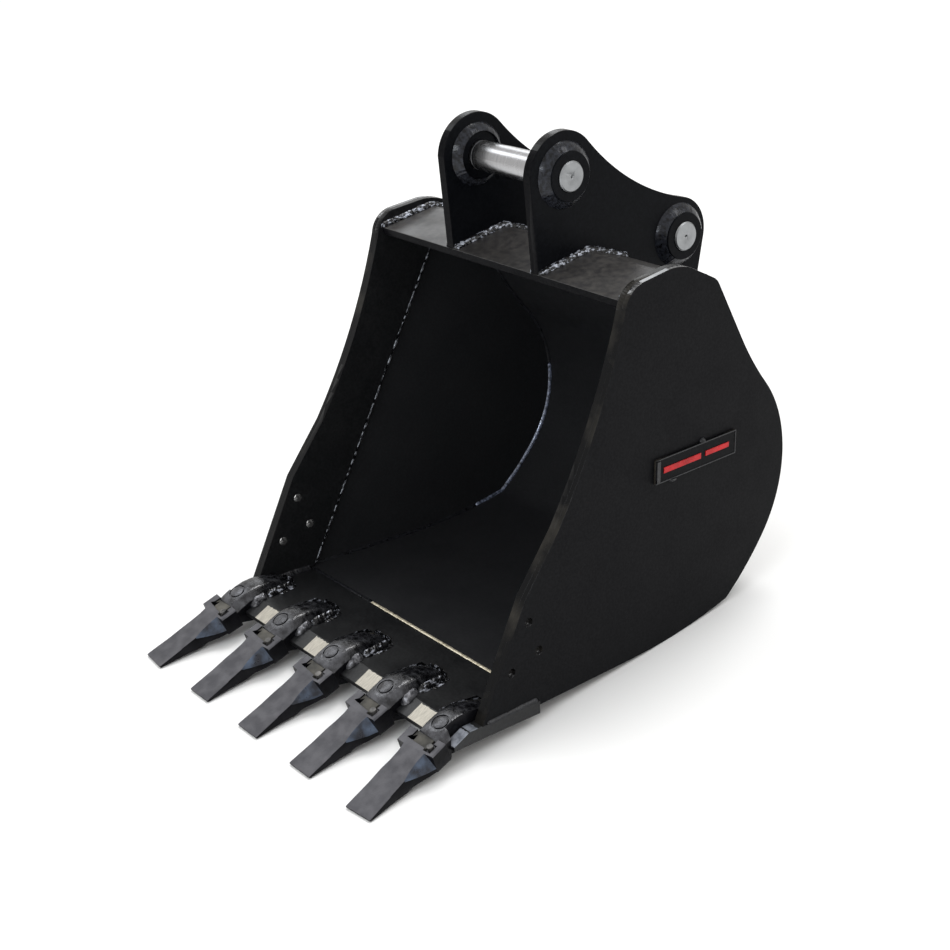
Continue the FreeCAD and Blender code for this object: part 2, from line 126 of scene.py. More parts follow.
def circles_meet(middle_a, radius_a, middle_b, radius_b):
    """The lower of the two points that lie on both circles."""
    span = math.dist(middle_a, middle_b)
    along = (span ** 2 + radius_a ** 2 - radius_b ** 2) / (2 * span)
    aside = math.sqrt(radius_a ** 2 - along ** 2)
    u = ((middle_b[0] - middle_a[0]) / span, (middle_b[1] - middle_a[1]) / span)
    points = []
    for sign in (1, -1):
        points.append((middle_a[0] + along * u[0] - sign * aside * u[1],
                       middle_a[1] + along * u[1] + sign * aside * u[0]))
    return min(points, key=lambda point: point[1])


RISE_START, RISE_RADIUS, HEEL_RADIUS, BACK_RADIUS, HOLLOW_RADIUS = 300, 874, 418, 206, 570
HEEL_TO_BACK, BACK_TO_HOLLOW, HOLLOW_END, TOP_RISE = -36, 41, 210.4, 117
BACK_CENTRE = (424.2, 220.6)
HEEL_CENTRE = on_circle(BACK_CENTRE, BACK_RADIUS - HEEL_RADIUS, HEEL_TO_BACK)
HOLLOW_CENTRE = on_circle(BACK_CENTRE, BACK_RADIUS + HOLLOW_RADIUS, BACK_TO_HOLLOW)
RISE_CENTRE = (RISE_START, RISE_RADIUS - FLOOR_DROP)
UPPER_BACK = (math.cos(math.radians(HOLLOW_END - 90)), math.sin(math.radians(HOLLOW_END - 90)))


def heel_line(inset, climb=TOP_RISE):
    """Points from the lip round the heel and up the back, at an inset from the side plates' edge."""
    rise, heel = RISE_RADIUS - inset, HEEL_RADIUS - inset
    back, hollow = BACK_RADIUS - inset, HOLLOW_RADIUS + inset
    corner = circles_meet(RISE_CENTRE, rise, HEEL_CENTRE, heel)
    points = [(LIP_BACK, inset - FLOOR_DROP)]
    points += arc_points(RISE_CENTRE, rise, -90, angle_at(RISE_CENTRE, corner))
    points += arc_points(HEEL_CENTRE, heel, angle_at(HEEL_CENTRE, corner), HEEL_TO_BACK)[1:]
    points += arc_points(BACK_CENTRE, back, HEEL_TO_BACK, BACK_TO_HOLLOW)[1:]
    points += arc_points(HOLLOW_CENTRE, hollow, BACK_TO_HOLLOW + 180, HOLLOW_END)[1:]
    end = points[-1]
    return points + [(end[0] + climb * UPPER_BACK[0], end[1] + climb * UPPER_BACK[1])]


def down_the_back(distance):
    """The point this far below the top end of the wrapper's outer face."""
    end = heel_line(INSET)[-1]
    return (end[0] - distance * UPPER_BACK[0], end[1] - distance * UPPER_BACK[1])


# upper face of the top plate, from its front edge over the bend to its rear edge
TOP_REAR = down_the_back(4)
TOP_LINE = [(278, 546.5), (368, 564.4), (376, 565.2), (384, 563.2), TOP_REAR]


def side_frame(side):
    """Matrix from a flat side plate's own frame, its outer face on X = 0, to the working frame."""
    turn = Vector((1, 0, 0)).rotation_difference(Vector((1, side * TAPER, -side * LEAN)))
    return Matrix.Translation((side * HALF_WIDTH, 0, 0)) @ turn.to_matrix().to_4x4()


def on_side(side, inward, y, z):
    return side_frame(side) @ Vector((-side * inward, y, z))


# ------------------------------ materials
def nodes_of(material):
    return material.node_tree.nodes, material.node_tree.links


def new_material(name, color, rough, metallic=0.0, specular=0.5, coat=0.0):
    material = bpy.data.materials.new(name)
    material.use_nodes = True
    shader = material.node_tree.nodes["Principled BSDF"]
    shader.inputs["Base Color"].default_value = (*color, 1)
    shader.inputs["Roughness"].default_value = rough
    shader.inputs["Metallic"].default_value = metallic
    shader.inputs["Specular IOR Level"].default_value = specular
    shader.inputs["Coat Weight"].default_value = coat
    shader.inputs["Coat Roughness"].default_value = 0.1
    return material


def grain(material, scale, detail, stretch=(1, 1, 1)):
    """A noise texture in the object's own coordinates, in cycles per metre."""
    made, links = nodes_of(material)
    place = made.new("ShaderNodeTexCoord")
    mapping = made.new("ShaderNodeMapping")
    mapping.inputs["Scale"].default_value = stretch
    texture = made.new("ShaderNodeTexNoise")
    texture.inputs["Scale"].default_value = scale
    texture.inputs["Detail"].default_value = detail
    links.new(place.outputs["Object"], mapping.inputs["Vector"])
    links.new(mapping.outputs["Vector"], texture.inputs["Vector"])
    return texture.outputs["Fac"]


def ramp(material, source, low, high, color_low, color_high):
    """Blend two colours as the source goes from low to high."""
    made, links = nodes_of(material)
    node = made.new("ShaderNodeValToRGB")
    node.color_ramp.elements[0].position = low
    node.color_ramp.elements[1].position = high
    node.color_ramp.elements[0].color = (*color_low, 1)
    node.color_ramp.elements[1].color = (*color_high, 1)
    links.new(source, node.inputs["Fac"])
    return node.outputs["Color"]


def spread(material, source, low, high, to_low, to_high):
    """Map the source from one range to another."""
    made, links = nodes_of(material)
    node = made.new("ShaderNodeMapRange")
    for name, value in (("From Min", low), ("From Max", high), ("To Min", to_low), ("To Max", to_high)):
        node.inputs[name].default_value = value
    links.new(source, node.inputs["Value"])
    return node.outputs["Result"]


def feed(material, socket, output):
    made, links = nodes_of(material)
    links.new(output, made["Principled BSDF"].inputs[socket])


def tint(material, source, low, high, dark, light):
    """Let the colour follow the source."""
    feed(material, "Base Color", ramp(material, source, low, high, dark, light))


def sheen(material, source, low, high, smooth, rough):
    """Let the roughness follow the source."""
    feed(material, "Roughness", spread(material, source, low, high, smooth, rough))


def bump_from(material, layers):
    """Chain bumps: each layer is (height output, strength, distance in metres)."""
    made, links = nodes_of(material)
    normal = None
    for height, strength, distance in layers:
        bump = made.new("ShaderNodeBump")
        bump.inputs["Strength"].default_value = strength
        bump.inputs["Distance"].default_value = distance
        links.new(height, bump.inputs["Height"])
        if normal:
            links.new(normal, bump.inputs["Normal"])
        normal = bump.outputs["Normal"]
    feed(material, "Normal", normal)


def paint(name, dark, light, rough, specular, peel=0.12, wave=0.10, scale=260, detail=6, low=0.38,
          high=0.66):
    """Sprayed black paint: faint mottling, uneven gloss and orange peel."""
    material = new_material(name, light, rough, specular=specular)
    tint(material, grain(material, scale, detail), low, high, dark, light)
    sheen(material, grain(material, 14, 5), 0.35, 0.65, rough - 0.06, rough + 0.08)
    bump_from(material, [(grain(material, 7, 3), wave, 0.002), (grain(material, 420, 3), peel, 0.0004)])
    return material


black_side = paint("paint_side", (0.0050, 0.0052, 0.0060), (0.0082, 0.0084, 0.0094), 0.42, 0.04)
# cut edges, rubbed to a brownish grey in places
black_edge = paint("paint_edge", (0.0030, 0.0031, 0.0036), (0.034, 0.031, 0.026), 0.26, 0.12,
                   scale=13, detail=7, low=0.50, high=0.72)
# cut edges of the ears and of the top plate, which stay dark
ear_edge = paint("paint_ear_edge", (0.0020, 0.0022, 0.0030), (0.0060, 0.0060, 0.0070), 0.34, 0.03)
# up-facing cut edges: a lighter, glossier copy of the edge paint, a painted highlight along the top edges
crest_painted_highlight = paint("paint_crest_painted_highlight", (0.020, 0.020, 0.022), (0.060, 0.060, 0.062), 0.16, 1.0, 0.05, 0.03)
# inside the bowl: a lighter copy of the black paint, painted light that lifts the bowl's shade
inside_painted_fill_light = paint("paint_inside_painted_fill_light", (0.0135, 0.0140, 0.0155), (0.0195, 0.0200, 0.0220), 0.38, 0.30,
                     0.04, 0.02)
black_ear = paint("paint_ear", (0.0026, 0.0030, 0.0040), (0.0048, 0.0054, 0.0070), 0.32, 0.05)
black_bar = paint("paint_bar", (0.0050, 0.0052, 0.0058), (0.0130, 0.0135, 0.0145), 0.34, 0.35, 0.06, 0.03)
# the top plate's upper face, lightened to grey-brown in patches: a painted reflection of the overhead
# light
top_plate_painted_sheen = paint("paint_top_painted_sheen", (0.020, 0.019, 0.020), (0.052, 0.049, 0.046), 0.40, 0.45,
                  scale=95, detail=9, low=0.34, high=0.70)


def weld_paint(name, dark, light, rough, metallic, specular=0.8, scale=190, detail=5, stretch=(1, 1, 1),
               low=0.35, high=0.68):
    """Glossy paint over a rippled bead, mottled between a dark and a light tone; a bright light tone is a
    painted highlight.
    """
    material = new_material(name, light, rough, metallic=metallic, specular=specular, coat=0.06)
    mottle = grain(material, scale, detail, stretch=stretch)
    tint(material, mottle, low, high, dark, light)
    sheen(material, grain(material, 90, 4), 0.3, 0.7, rough - 0.08, rough + 0.12)
    bump_from(material, [(grain(material, 520, 4), 0.3, 0.0006)])
    return material


def weld_painted_glints(name, bright, low, scale):
    """A bead of black paint broken by bright strokes of stretched noise: painted highlights."""
    return weld_paint(name, (0.005, 0.005, 0.006), bright, 0.24, 0.3, 0.4, scale=scale, detail=3,
                      stretch=(1.0, 0.45, 1.0), low=low, high=low + 0.13)


# boss welds: black with faint bluish painted glints
weld_ring_painted_glints = weld_paint("weld_ring_painted_glints", (0.003, 0.003, 0.004), (0.026, 0.029, 0.038), 0.20, 0.25, 0.3)
weld_black = weld_paint("weld_black", (0.004, 0.004, 0.005), (0.018, 0.019, 0.023), 0.30, 0.15, 0.4)
# front ends of the adapters' right-hand beads: a lighter grey, a painted highlight
weld_nugget_painted_highlight = weld_paint("weld_nugget_painted_highlight", (0.03, 0.031, 0.036), (0.20, 0.20, 0.215), 0.28, 0.6, 0.5)
# bright strokes on the beads, dense and sparse: painted highlights
weld_bright = weld_painted_glints("weld_painted_glints", (0.44, 0.47, 0.54), 0.52, 300)
weld_sparse = weld_painted_glints("weld_sparse", (0.40, 0.42, 0.48), 0.54, 210)
# the stretch of the wrapper weld that shines: bluish grey, a painted highlight
weld_painted_shine = weld_paint("weld_painted_shine", (0.030, 0.035, 0.050), (0.26, 0.30, 0.42), 0.22, 0.3, 0.9)
# the side bars' welds: a bright line of strokes, a painted highlight
weld_line_painted_highlight = weld_painted_glints("weld_line_painted_highlight", (0.70, 0.74, 0.82), 0.46, 130)
weld_gold = weld_paint("weld_gold", (0.42, 0.37, 0.26), (0.85, 0.78, 0.62), 0.36, 0.5)


def pitted(name, color, rough, metallic, specular, pits):
    """Cast or forged steel under thin paint: pitted, with uneven gloss."""
    material = new_material(name, color, rough, metallic=metallic, specular=specular)
    sheen(material, grain(material, 120, 5), 0.3, 0.7, rough - 0.1, rough + 0.12)
    bump_from(material, [(grain(material, 150, 6), pits, 0.0012), (grain(material, 700, 3), 0.25, 0.0004)])
    return material


def cast(name, dark, light, rough, metallic=0.0, specular=0.4, pits=0.5, cloud_scale=46):
    """Pitted steel, worn in clouds from dark to light."""
    material = pitted(name, light, rough, metallic, specular, pits)
    tint(material, grain(material, cloud_scale, 8), 0.36, 0.66, dark, light)
    return material


# teeth: faces that look up are a lighter grey, a painted sheen; the shoulder facets are bluish, a painted
# reflection; the flanks are near black, painted shade
tooth_top_painted_sheen = cast("tooth_satin_painted_sheen", (0.052, 0.052, 0.060), (0.096, 0.095, 0.105), 0.42, 0.15, 0.36, 0.16, 60)
tooth_facet_painted_reflection = cast("tooth_facet_painted_reflection", (0.016, 0.018, 0.026), (0.080, 0.110, 0.165), 0.34, 0.2, 0.5, 0.15, 45)
tooth_flank_painted_shade = cast("tooth_flank_painted_shade", (0.002, 0.002, 0.003), (0.008, 0.008, 0.010), 0.42, 0.0, 0.08, 0.3)
tooth_saddle = cast("tooth_saddle", (0.035, 0.034, 0.030), (0.100, 0.094, 0.080), 0.55, 0.0, 0.3, 0.4)
# adapters' faces that do not look up: near black, painted shade
adapter_flank_painted_shade = cast("adapter_flank_painted_shade", (0.002, 0.002, 0.003), (0.008, 0.008, 0.010), 0.34, 0.0, 0.12, 0.5)


def adapter_painted_reflection():
    """The adapter's crown: lighter grey over the joint, a painted reflection of the overhead light, and
    black gloss on the leg behind it, painted shade.
    """
    material = pitted("adapter_crown_painted_reflection", (0.15, 0.152, 0.168), 0.22, 0.3, 0.75, 0.6)
    made, links = nodes_of(material)
    place = made.new("ShaderNodeTexCoord")
    split = made.new("ShaderNodeSeparateXYZ")
    links.new(place.outputs["Object"], split.inputs["Vector"])
    wander = made.new("ShaderNodeMath")
    wander.operation = "MULTIPLY_ADD"
    links.new(grain(material, 60, 6), wander.inputs[0])
    ragged = 0.030            # metres that the border between the two wanders
    wander.inputs[1].default_value = ragged
    links.new(split.outputs["Y"], wander.inputs[2])
    # the painted reflection gives way to the leg's painted shade a little behind the joint
    joint = (WORKING @ Vector((0, -40, 0))).y + ragged / 2
    leg = spread(material, wander.outputs["Value"], joint, joint + 0.016, 0, 1)
    blend = made.new("ShaderNodeMix")
    blend.data_type = "RGBA"
    links.new(leg, blend.inputs["Factor"])
    # the crown's light clouds are a painted reflection of the overhead light, the leg's black tone painted
    # shade
    worn, black = grain(material, 70, 8), grain(material, 120, 6)
    crown = ramp(material, worn, 0.36, 0.66, (0.008, 0.008, 0.011), (0.085, 0.087, 0.098))
    rear = ramp(material, black, 0.40, 0.70, (0.004, 0.004, 0.005), (0.030, 0.031, 0.036))
    links.new(crown, blend.inputs["A"])
    links.new(rear, blend.inputs["B"])
    feed(material, "Base Color", blend.outputs["Result"])
    return material


adapter_crown_painted_reflection = adapter_painted_reflection()


def turned_steel():
    """Ground steel with fine turning marks round the pin's axis, X."""
    material = new_material("turned_steel", (0.60, 0.60, 0.61), 0.22, metallic=1.0)
    streaks = grain(material, 30, 4, stretch=(30, 1, 1))
    tint(material, streaks, 0.3, 0.7, (0.38, 0.38, 0.39), (0.46, 0.46, 0.47))
    sheen(material, grain(material, 35, 4), 0.3, 0.7, 0.20, 0.30)
    bump_from(material, [(streaks, 0.04, 0.0002)])
    return material


def ring_steel():
    """The turned end of a pin: concentric marks of the facing tool."""
    material = new_material("ring_steel", (0.5, 0.5, 0.51), 0.34, metallic=1.0)
    made, links = nodes_of(material)
    made["Principled BSDF"].inputs["Anisotropic"].default_value = 0.8
    tangent = made.new("ShaderNodeTangent")
    tangent.direction_type = "RADIAL"
    tangent.axis = "X"
    feed(material, "Tangent", tangent.outputs["Tangent"])
    place = made.new("ShaderNodeTexCoord")
    rings = made.new("ShaderNodeTexWave")
    rings.wave_type = "RINGS"
    rings.rings_direction = "X"
    rings.inputs["Scale"].default_value = 260
    rings.inputs["Distortion"].default_value = 0.6
    links.new(place.outputs["Object"], rings.inputs["Vector"])
    cloud = grain(material, 120, 5)
    tint(material, cloud, 0.3, 0.7, (0.28, 0.29, 0.30), (0.33, 0.34, 0.35))
    bump_from(material, [(rings.outputs["Fac"], 0.16, 0.0002)])
    return material


pin_side = turned_steel()
pin_end = ring_steel()


def bare_steel():
    """Unpainted ground bevel, brushed along the lip."""
    material = new_material("bare_steel", (0.72, 0.69, 0.63), 0.38, metallic=0.55)
    brush = grain(material, 70, 6, stretch=(14, 1, 1))
    tint(material, brush, 0.25, 0.7, (0.24, 0.225, 0.19), (0.60, 0.565, 0.49))
    sheen(material, brush, 0.3, 0.7, 0.30, 0.5)
    bump_from(material, [(brush, 0.25, 0.0004)])
    return material


bare = bare_steel()
bare_dull = cast("bare_dull", (0.10, 0.11, 0.13), (0.34, 0.36, 0.41), 0.42, 0.3, 0.5, 0.3, 90)
spring = cast("spring_steel", (0.06, 0.06, 0.06), (0.22, 0.21, 0.20), 0.36, 0.7, 0.5, 0.25)
badge_red = cast("badge_red", (0.30, 0.004, 0.006), (0.52, 0.010, 0.014), 0.40, 0.0, 0.25, 0.12)


# ------------------------------ mesh helpers
def solid(name, points, faces):
    """A mesh of a closed skin, its faces turned outwards."""
    mesh = bpy.data.meshes.new(name)
    mesh.from_pydata(points, [], faces)
    made = bmesh.new()
    made.from_mesh(mesh)
    bmesh.ops.recalc_face_normals(made, faces=made.faces)
    made.to_mesh(mesh)
    made.free()
    return mesh


def slab(name, low_ring, high_ring):
    """A block between two outlines of equal count."""
    count = len(low_ring)
    faces = [tuple(range(count)), tuple(range(count, 2 * count))]
    faces += [(i, (i + 1) % count, (i + 1) % count + count, i + count) for i in range(count)]
    return solid(name, low_ring + high_ring, faces)


def prism(name, outline, low, high):
    """A block from an XY outline between two heights."""
    return slab(name, [(x, y, low) for x, y in outline], [(x, y, high) for x, y in outline])


def finish_piece(mesh, name, materials, body=BUCKET, smooth=SHARP, replaced=(), place=(0, 0, 0)):
    """Put a mesh in the scene as a piece that rides on a body; its faces keep their material numbers."""
    piece = bpy.data.objects.new(name, mesh)
    piece.location = place
    bpy.context.scene.collection.objects.link(piece)
    for material in materials:
        mesh.materials.append(material)
    mesh.shade_smooth()
    mesh.set_sharp_from_angle(angle=math.radians(smooth))
    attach(piece, body)
    if replaced:
        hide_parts(*replaced)
    return piece


def bevel(piece, width, harden=True):
    modifier = piece.modifiers.new("edges", "BEVEL")
    modifier.width = width * MM
    modifier.segments = 2
    modifier.limit_method = "ANGLE"
    modifier.angle_limit = math.radians(SHARP)
    modifier.use_clamp_overlap = True
    modifier.harden_normals = harden


def clean_copy(node, joined=True):
    """The node's mesh, ready for bevels; its facets are joined into whole faces unless they hold holes."""
    made = bmesh.new()
    made.from_mesh(nodes[node].data)
    bmesh.ops.remove_doubles(made, verts=made.verts, dist=0.02 * MM)
    if joined:
        bmesh.ops.dissolve_limit(made, angle_limit=math.radians(0.6), verts=made.verts, edges=made.edges)
    mesh = bpy.data.meshes.new(node + "_skin")
    made.to_mesh(mesh)
    made.free()
    return mesh


def plate(node, material, width, flat=False, edge=None, inner=None, crest=None):
    """A CAD plate with its arrises broken.  A flat one, with holes, keeps its facets under flat shading.

    Its cut edges, the cut edges that face up (crest) and the face towards the bucket's middle (inner) may
    wear their own paints. The crest paint is lighter, a painted highlight; the side plates' inner paint is
    lighter too, painted light against the bowl's shade.
    """
    mesh = clean_copy(node, not flat)
    materials = [material, edge or material, inner or material, crest or edge or material]
    piece = finish_piece(mesh, node + "_skin", materials, replaced=(node,))
    inward = -math.copysign(1, centre(node).x)
    for face in mesh.polygons:
        broad = abs(face.normal.x) > 0.5
        if flat and broad:
            face.use_smooth = False
        # cut edges that face up take the crest paint, a painted highlight; the face towards the middle
        # takes the inner paint, which on the side plates is painted light against the bowl's shade
        if not broad:
            face.material_index = 3 if face.normal.z > 0.75 else 1
        elif face.normal.x * inward > 0:
            face.material_index = 2
    bevel(piece, width, harden=not flat)


# ------------------------------ plates and bars
for name in SIDES:
    plate(f"{name}_side_plate", black_side, 1.4, flat=True, edge=black_edge,
          inner=inside_painted_fill_light, crest=crest_painted_highlight)
    plate(f"{name}_side_bar", black_bar, 1.2, flat=True, edge=black_edge)
    # the ears' up-facing cut edges take the lighter rubbed-edge paint as a painted highlight
    plate(f"{name}_ear", black_ear, 1.4, flat=True, edge=ear_edge, crest=black_edge)
    for end in PINS:
        plate(f"{name}_{end}_boss", black_ear, 1.0)

plate("cutting_edge", black_bar, 1.0)


def wrapper():
    """The wrapper: inside the bowl the lighter inside paint, painted light against the bowl's shade;
    outside the side plates' paint.
    """
    mesh = clean_copy("wrapper")
    piece = finish_piece(mesh, "wrapper_skin", [inside_painted_fill_light, black_side],
                         replaced=("wrapper",))
    middle = centre("wrapper")
    for face in mesh.polygons:
        away = face.center - middle
        face.material_index = 1 if face.normal.y * away.y + face.normal.z * away.z > 0 else 0
    bevel(piece, 0.8)


wrapper()


def top_plate():
    """Only the top plate's upper face takes the lighter paint, a painted reflection of the overhead light.
    """
    mesh = clean_copy("top_plate")
    piece = finish_piece(mesh, "top_plate_skin", [ear_edge, top_plate_painted_sheen],
                         replaced=("top_plate",))
    for face in mesh.polygons:
        face.material_index = 1 if face.normal.z > 0.5 else 0
    bevel(piece, 1.4)


top_plate()


# ------------------------------ pins
def coupling_pin(node):
    """The pin, turned ends and ground shank, with its own origin on its axis for the turning marks."""
    middle = centre(node)
    mesh = clean_copy(node)
    mesh.transform(Matrix.Translation(-middle))
    for face in mesh.polygons:
        face.material_index = 1 if abs(face.normal.x) > 0.5 else 0
    finish_piece(mesh, node + "_ground", [pin_side, pin_end], body=node,
                 replaced=(node,), place=middle)


coupling_pin("front_pin")
coupling_pin("rear_pin")


# ------------------------------ weld beads
class Welds:
    """Weld beads gathered into one mesh.  Every bead is a closed skin with fish-scale ripples."""

    STEP = 1.1            # between the rings along a bead
    COLUMNS = 9           # points across a bead
    SWAY = 0.06           # how quickly the width drifts, per millimetre
    BOW = 0.55            # how far a ripple's middle runs ahead of its ends, in pitches
    ROOT = 0.6            # how deep the skin goes into the corner

    def __init__(self, name, material, seed):
        self.name = name
        self.material = material
        self.points = []
        self.faces = []
        self.random = random.Random(seed)

    def ripples(self, length, pitch):
        """Where each ripple ends along the bead, and how proud and wide it is."""
        ends, tall, wide = [0.0], [1.0], [1.0]
        while ends[-1] < length + pitch:
            ends.append(ends[-1] + pitch * self.random.uniform(0.75, 1.3))
            tall.append(self.random.uniform(0.7, 1.35))
            wide.append(self.random.uniform(0.88, 1.1))
        return ends, tall, wide

    def bead(self, path, leg, crown, pitch, ripple, closed=False, wander=0.12):
        """A bead along a path of (corner, first wall, second wall, outward) vectors."""
        stations = resample(path, self.STEP, closed)
        length = stations[-1][0]
        ends, tall, wide = self.ripples(length, pitch)
        first = len(self.points)
        rows = self.COLUMNS + 1
        drift = self.random.uniform(0, 100)
        for along, corner, wall_a, wall_b, outward in stations:
            fade = 1.0 if closed else min(1.0, (min(along, length - along) / (0.8 * leg)) + 0.12) ** 0.5
            sway = 1 + wander * noise.noise(Vector((along * self.SWAY, drift, 0)))
            ring = []
            for column in range(self.COLUMNS):
                u = column / (self.COLUMNS - 1)
                bow = 4 * u * (1 - u)
                phase = min(max(along + self.BOW * pitch * bow, 0), ends[-1] - 0.01)
                index = bisect.bisect_right(ends, phase)
                start = ends[index - 1]
                part = (phase - start) / (ends[index] - start)
                scale = math.sqrt(max(0.0, math.sin(math.pi * part ** 0.8)))
                reach = leg * sway * fade * (1 + (wide[index] - 1) * scale * min(1.0, ripple))
                lift = (crown * fade + ripple * tall[index] * scale * fade) * (0.35 + 0.65 * bow)
                edge = corner + reach * ((1 - u) * wall_a + u * wall_b)
                ring.append(edge + outward * (lift - 0.25 * ripple))
            ring.append(corner - outward * self.ROOT)
            self.points += [WORKING @ point for point in ring]
        count = len(stations)
        for i in range(count if closed else count - 1):
            here = first + i * rows
            there = first + ((i + 1) % count) * rows
            for column in range(rows):
                nxt = (column + 1) % rows
                self.faces.append((here + column, there + column, there + nxt, here + nxt))
        if not closed:
            self.faces.append(tuple(first + column for column in range(rows)))
            last = first + (count - 1) * rows
            self.faces.append(tuple(last + column for column in reversed(range(rows))))

    def done(self, slot_name="black_paint"):
        mesh = solid(self.name, self.points, self.faces)
        finish_piece(mesh, self.name, [self.material], smooth=70)


def resample(path, step, closed):
    """Even stations along a path, as (distance, corner, wall, wall, outward)."""
    path = list(path)
    if closed:
        path.append(path[0])
    lengths = [0.0]
    for a, b in zip(path, path[1:]):
        lengths.append(lengths[-1] + (b[0] - a[0]).length)
    total = lengths[-1]
    count = max(3, round(total / step))
    stations = []
    index = 0
    for i in range(count if closed else count + 1):
        along = total * i / count
        while index < len(path) - 2 and lengths[index + 1] < along:
            index += 1
        span = max(lengths[index + 1] - lengths[index], 1e-6)
        t = min(1.0, (along - lengths[index]) / span)
        a, b = path[index], path[index + 1]
        corner = a[0].lerp(b[0], t)
        walls = [a[k].lerp(b[k], t) for k in (1, 2)]
        stations.append((along, corner, walls[0], walls[1], a[3].lerp(b[3], t).normalized()))
    return stations


def fillet(points, wall_a, wall_b):
    """Path for an inside corner; the walls are vectors, or functions of the point's number."""
    path = []
    for index, point in enumerate(points):
        a = wall_a(index) if callable(wall_a) else wall_a
        b = wall_b(index) if callable(wall_b) else wall_b
        path.append((Vector(point), a, b, (a + b).normalized()))
    return path


def seam(points, across, outward):
    """Path for a flat seam: the bead lies equally on both sides."""
    path = []
    for index, point in enumerate(points):
        n = outward(index) if callable(outward) else outward
        path.append((Vector(point), across, -across, n))
    return path


def normals_of(line, flip=1):
    """Unit normals of a line in the side view, to its left when flip is 1, as vectors."""
    result = []
    for index in range(len(line)):
        a = line[max(index - 1, 0)]
        b = line[min(index + 1, len(line) - 1)]
        run = math.dist(a, b)
        result.append(Vector((0, -flip * (b[1] - a[1]) / run, flip * (b[0] - a[0]) / run)))
    return result


EAR_FOOT = 395            # height where the ears' rear edges end on the back
FILLET_TURN = 72          # stations round a boss's weld


def boss_path(x, wall, pin):
    """Round a boss where it meets one face of its ear."""
    ring = []
    for step in range(FILLET_TURN):
        angle = math.tau * step / FILLET_TURN
        radial = Vector((0, math.cos(angle), math.sin(angle)))
        corner = Vector((x, pin.y, pin.z)) + radial * BOSS_RADIUS
        ring.append((corner, radial, wall, (radial + wall).normalized()))
    return ring


def ear_welds():
    """Both faces of each ear, along the top plate and down the back, and round the bosses."""
    welds = Welds("welds_ears", weld_bright, 11)
    bosses = Welds("welds_bosses", weld_ring_painted_glints, 12)
    top = [*TOP_LINE[:-1], (TOP_REAR[0] - 6, TOP_REAR[1] + 2)]
    top_normals = normals_of(TOP_LINE)
    down = [point for point in reversed(heel_line(INSET)) if point[1] > EAR_FOOT][1:]
    down_normals = normals_of(down)
    for side in SIDES.values():
        away = Vector((side, 0, 0))
        for x, wall in ((EAR_OUTER, away), (EAR_INNER, -away)):
            path = fillet([(side * x, y, z) for y, z in top], wall, lambda i: top_normals[i])
            welds.bead(path, leg=7, crown=1.6, pitch=4.2, ripple=0.6)
            path = fillet([(side * x, y, z) for y, z in down], wall, lambda i: down_normals[i])
            bosses.bead(path, leg=7, crown=1.4, pitch=5, ripple=0.8)
        for pin in PINS.values():
            for x, wall, leg in ((EAR_OUTER, away, 12.5), (EAR_INNER, -away, 11.5)):
                path = boss_path(side * x, wall, pin)
                bosses.bead(path, leg=leg, crown=1.4, pitch=3.4, ripple=0.22, closed=True, wander=0.03)
    welds.done()
    bosses.done()


BACK_WELD_TOP = 528       # the inside weld ends under the top plate
SHINE_FROM, SHINE_BELOW = 430, 245      # where the weld wears the bluish grey paint, a painted highlight: Y from, Z below
BAR_FOOT, BAR_HEAD = Vector((0, 108, 3)), Vector((0, 393, 543))     # the side bar's rear edge


def inside_welds():
    """Each side plate's welds to the wrapper, the bar, the lip and the top plate."""
    bright = Welds("welds_inside", weld_bright, 21)
    thin = Welds("welds_wrapper", weld_painted_shine, 23)
    line_weld = Welds("welds_bars", weld_line_painted_highlight, 24)
    dark = Welds("welds_corners", weld_black, 22)
    line = [point for point in heel_line(INSET + WRAPPER) if point[1] < BACK_WELD_TOP]
    up = normals_of(line)
    shining = [i for i, (y, z) in enumerate(line) if y > SHINE_FROM and z < SHINE_BELOW]
    first, last = shining[0], shining[-1]
    along = (BAR_HEAD - BAR_FOOT).normalized()
    behind = Vector((0, along.z, -along.y))
    top_normals = normals_of(TOP_LINE)
    outer = heel_line(INSET)[1:-1]
    out_normals = normals_of(outer, -1)
    for side in SIDES.values():
        inward = Vector((-side, 0, 0))
        corner = [on_side(side, PLATE, y, z) for y, z in line]
        path = fillet(corner, inward, lambda i: up[i])
        # along the shining stretch the bead wears the bluish grey paint, a painted highlight; the rest
        # stays dark
        thin.bead(path[first:last + 1], leg=4.0, crown=0.7, pitch=3.6, ripple=0.25)
        for part in (path[:first + 1], path[last:]):
            dark.bead(part, leg=3.6, crown=0.5, pitch=3.6, ripple=0.15)
        # rear edge of the side bar
        corner = [on_side(side, PLATE, *BAR_FOOT.lerp(BAR_HEAD, t / 8).yz) for t in range(9)]
        line_weld.bead(fillet(corner, behind, inward), leg=10.5, crown=1.6, pitch=3.6, ripple=0.25)
        # foot of the side bar and of the side plate on the lip
        corner = [on_side(side, PLATE + BAR, y, 0) for y in (6, 60, 104)]
        dark.bead(fillet(corner, inward, UP), leg=6.5, crown=1.0, pitch=4.4, ripple=0.3)
        corner = [on_side(side, 0, y, 0) for y in (8, 60, 104)]
        dark.bead(fillet(corner, -inward, UP), leg=4.5, crown=0.7, pitch=4.4, ripple=0.2)
        # top plate against the side bar
        corner = [on_side(side, PLATE + BAR, y, z) for y, z in TOP_LINE]
        path = fillet(corner, inward, lambda i: top_normals[i])
        bright.bead(path, leg=7, crown=1.6, pitch=4.4, ripple=0.6)
        # wrapper against the side plate's edge, outside
        corner = [on_side(side, PLATE, y, z) + out_normals[i] * 0.6 for i, (y, z) in enumerate(outer)]
        dark.bead(seam(corner, inward, lambda i: out_normals[i]), leg=5, crown=1.6, pitch=5, ripple=0.7)
    for welds in (bright, thin, line_weld, dark):
        welds.done()


